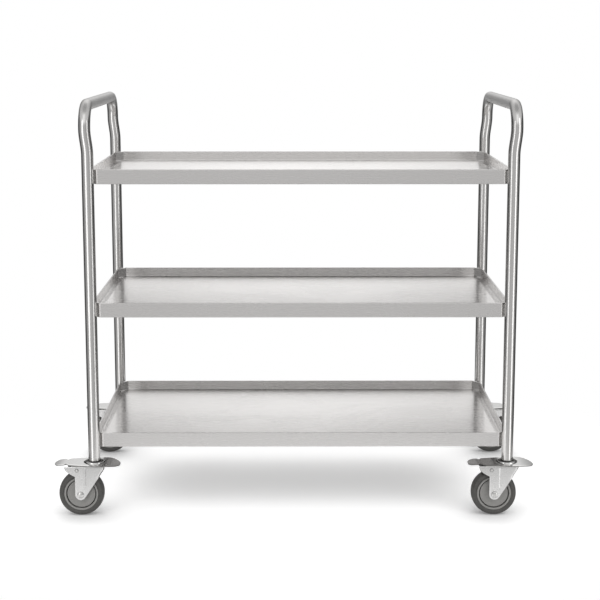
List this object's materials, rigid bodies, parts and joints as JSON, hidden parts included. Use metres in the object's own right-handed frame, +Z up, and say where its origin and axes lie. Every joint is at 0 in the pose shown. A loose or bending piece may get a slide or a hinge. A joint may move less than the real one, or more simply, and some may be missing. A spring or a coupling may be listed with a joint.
{
  "type": "three-tray cleanroom cart",
  "caption": "Stainless service cart: tube hoops with push handles carry folded sheet trays, on swivel casters with brake pedals.",
  "frame": {"origin": "on the floor under the middle of the cart, centre of the bounding box's bottom face", "axes": "+X along the long side, from the left hoop to the right hoop; -Y is the front that the picture shows; +Z up"},
  "size_m": [1.0886, 0.55, 0.917],
  "materials": {
    "stainless_tube": "brushed and lightly polished",
    "stainless_sheet": "brushed",
    "pressed_steel": "satin, pressed",
    "polished_steel": "polished",
    "turned_steel": "turned",
    "tyre_rubber": "matt grey rubber",
    "shoe_rubber": "matt black rubber",
    "hub_plastic": "moulded grey",
    "bush_plastic": "moulded natural"
  },
  "bodies": {
    "frame": {"hoop_left": "stainless_tube", "hoop_right": "stainless_tube", "tray_bottom": "stainless_sheet", "tray_middle": "stainless_sheet", "tray_top": "stainless_sheet", "front_left_kingpin": "turned_steel", "front_left_tube_plug": "bush_plastic", "front_left_swivel_cap": "polished_steel", "front_right_kingpin": "turned_steel", "front_right_tube_plug": "bush_plastic", "front_right_swivel_cap": "polished_steel", "rear_left_kingpin": "turned_steel", "rear_left_tube_plug": "bush_plastic", "rear_left_swivel_cap": "polished_steel", "rear_right_kingpin": "turned_steel", "rear_right_tube_plug": "bush_plastic", "rear_right_swivel_cap": "polished_steel"},
    "front_left_swivel_body": {"front_left_swivel_bearing": "turned_steel", "front_left_fork": "pressed_steel", "front_left_axle": "turned_steel", "front_left_axle_nut": "turned_steel", "front_left_pedal_pin": "turned_steel"},
    "front_left_wheel_body": {"front_left_tyre": "tyre_rubber", "front_left_hub": "hub_plastic", "front_left_wheel_bush": "bush_plastic"},
    "front_left_pedal_body": {"front_left_pedal": "polished_steel", "front_left_brake_shoe": "shoe_rubber"},
    "front_right_swivel_body": {"front_right_swivel_bearing": "turned_steel", "front_right_fork": "pressed_steel", "front_right_axle": "turned_steel", "front_right_axle_nut": "turned_steel", "front_right_pedal_pin": "turned_steel"},
    "front_right_wheel_body": {"front_right_tyre": "tyre_rubber", "front_right_hub": "hub_plastic", "front_right_wheel_bush": "bush_plastic"},
    "front_right_pedal_body": {"front_right_pedal": "polished_steel", "front_right_brake_shoe": "shoe_rubber"},
    "rear_left_swivel_body": {"rear_left_swivel_bearing": "turned_steel", "rear_left_fork": "pressed_steel", "rear_left_axle": "turned_steel", "rear_left_axle_nut": "turned_steel", "rear_left_pedal_pin": "turned_steel"},
    "rear_left_wheel_body": {"rear_left_tyre": "tyre_rubber", "rear_left_hub": "hub_plastic", "rear_left_wheel_bush": "bush_plastic"},
    "rear_left_pedal_body": {"rear_left_pedal": "polished_steel", "rear_left_brake_shoe": "shoe_rubber"},
    "rear_right_swivel_body": {"rear_right_swivel_bearing": "turned_steel", "rear_right_fork": "pressed_steel", "rear_right_axle": "turned_steel", "rear_right_axle_nut": "turned_steel", "rear_right_pedal_pin": "turned_steel"},
    "rear_right_wheel_body": {"rear_right_tyre": "tyre_rubber", "rear_right_hub": "hub_plastic", "rear_right_wheel_bush": "bush_plastic"},
    "rear_right_pedal_body": {"rear_right_pedal": "polished_steel", "rear_right_brake_shoe": "shoe_rubber"}
  },
  "joints": [
    {"name": "front_left_swivel", "type": "hinge", "parent": "frame", "child": "front_left_swivel_body", "pos_m": [-0.457, -0.24, 0.116], "axis": [0, 0, 1], "continuous": true},
    {"name": "front_left_wheel_spin", "type": "hinge", "parent": "front_left_swivel_body", "child": "front_left_wheel_body", "pos_m": [-0.486, -0.24, 0.05], "axis": [0, 1, 0], "continuous": true},
    {"name": "front_left_brake", "type": "hinge", "parent": "front_left_swivel_body", "child": "front_left_pedal_body", "pos_m": [-0.4935, -0.24, 0.1058], "axis": [0, -1, 0], "range_deg": [0, 6]},
    {"name": "front_right_swivel", "type": "hinge", "parent": "frame", "child": "front_right_swivel_body", "pos_m": [0.457, -0.24, 0.116], "axis": [0, 0, 1], "continuous": true},
    {"name": "front_right_wheel_spin", "type": "hinge", "parent": "front_right_swivel_body", "child": "front_right_wheel_body", "pos_m": [0.428, -0.24, 0.05], "axis": [0, 1, 0], "continuous": true},
    {"name": "front_right_brake", "type": "hinge", "parent": "front_right_swivel_body", "child": "front_right_pedal_body", "pos_m": [0.4205, -0.24, 0.1058], "axis": [0, -1, 0], "range_deg": [0, 6]},
    {"name": "rear_left_swivel", "type": "hinge", "parent": "frame", "child": "rear_left_swivel_body", "pos_m": [-0.457, 0.24, 0.116], "axis": [0, 0, 1], "continuous": true},
    {"name": "rear_left_wheel_spin", "type": "hinge", "parent": "rear_left_swivel_body", "child": "rear_left_wheel_body", "pos_m": [-0.486, 0.24, 0.05], "axis": [0, 1, 0], "continuous": true},
    {"name": "rear_left_brake", "type": "hinge", "parent": "rear_left_swivel_body", "child": "rear_left_pedal_body", "pos_m": [-0.4935, 0.24, 0.1058], "axis": [0, -1, 0], "range_deg": [0, 6]},
    {"name": "rear_right_swivel", "type": "hinge", "parent": "frame", "child": "rear_right_swivel_body", "pos_m": [0.457, 0.24, 0.116], "axis": [0, 0, 1], "continuous": true},
    {"name": "rear_right_wheel_spin", "type": "hinge", "parent": "rear_right_swivel_body", "child": "rear_right_wheel_body", "pos_m": [0.486, 0.24, 0.05], "axis": [0, 1, 0], "continuous": true},
    {"name": "rear_right_brake", "type": "hinge", "parent": "rear_right_swivel_body", "child": "rear_right_pedal_body", "pos_m": [0.4935, 0.24, 0.1058], "axis": [0, 1, 0], "range_deg": [0, 6]}
  ]
}
